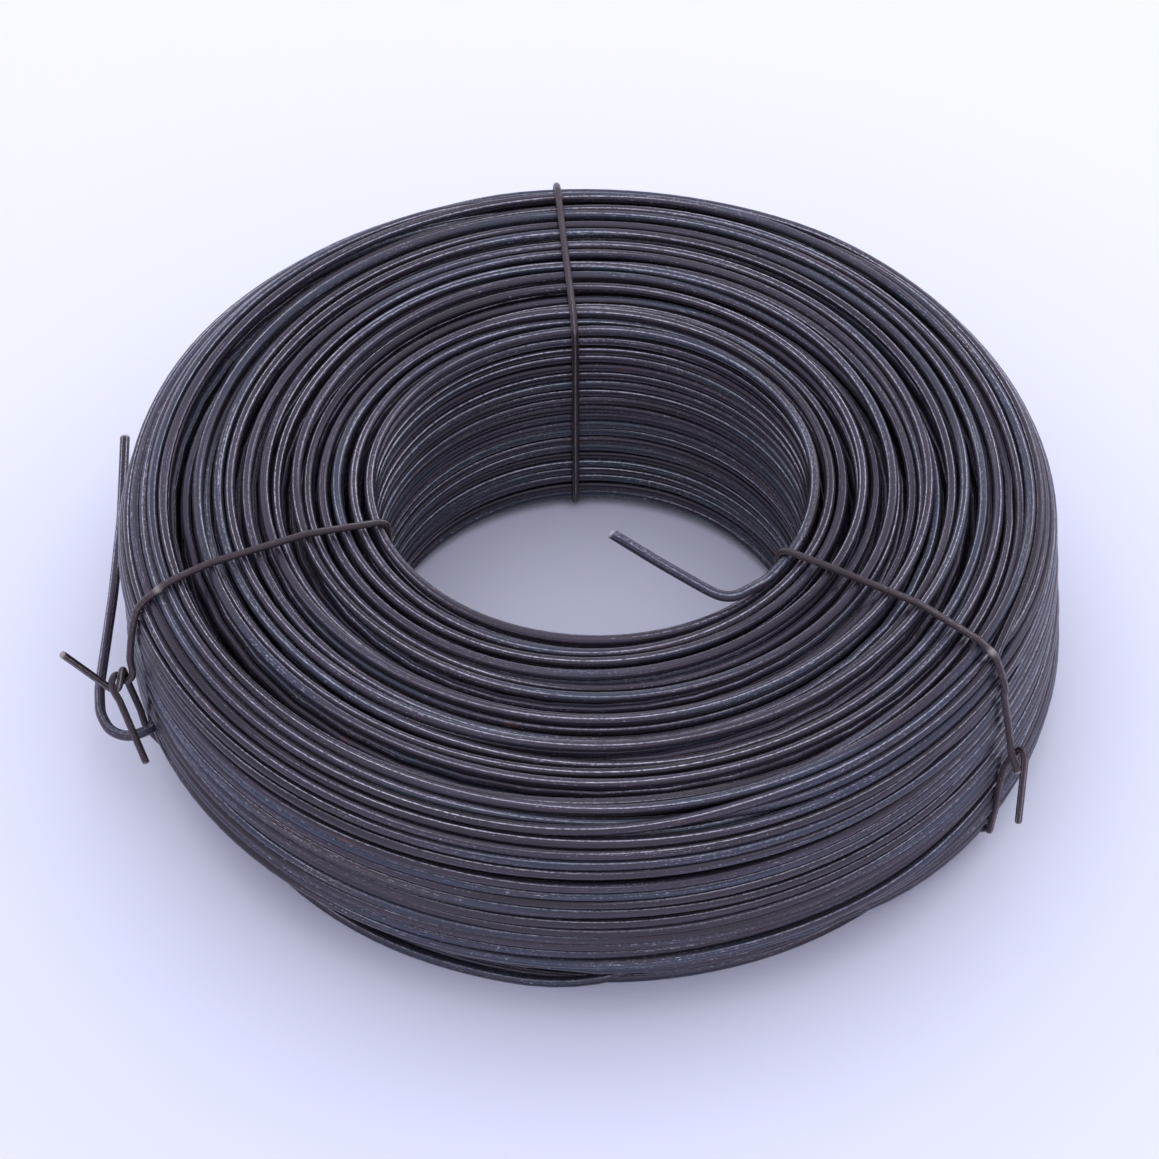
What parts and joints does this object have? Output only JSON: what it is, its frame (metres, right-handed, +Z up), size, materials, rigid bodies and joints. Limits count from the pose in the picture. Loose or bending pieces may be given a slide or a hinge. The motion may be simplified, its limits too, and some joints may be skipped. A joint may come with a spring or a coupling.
{
  "type": "coil of annealed tie wire",
  "caption": "Small hand coil of 1.6 mm black annealed steel tie wire, lying flat, bound by three thinner twisted wires, with both cut ends free.",
  "frame": {"origin": "on the coil's axis, at the floor that it lies on", "axes": "+Z up along the coil's axis; -Y towards the picture's viewer, +X to the viewer's right"},
  "size_m": [0.1506, 0.1527, 0.0427],
  "materials": {
    "coil_wire": "drawn and annealed steel, satin black scale",
    "tie_wire": "annealed steel, dull brown-black scale"
  },
  "bodies": {
    "root": {"wire_coil": "coil_wire", "tie_back": "tie_wire", "tie_left": "tie_wire", "tie_right": "tie_wire"}
  },
  "joints": []
}
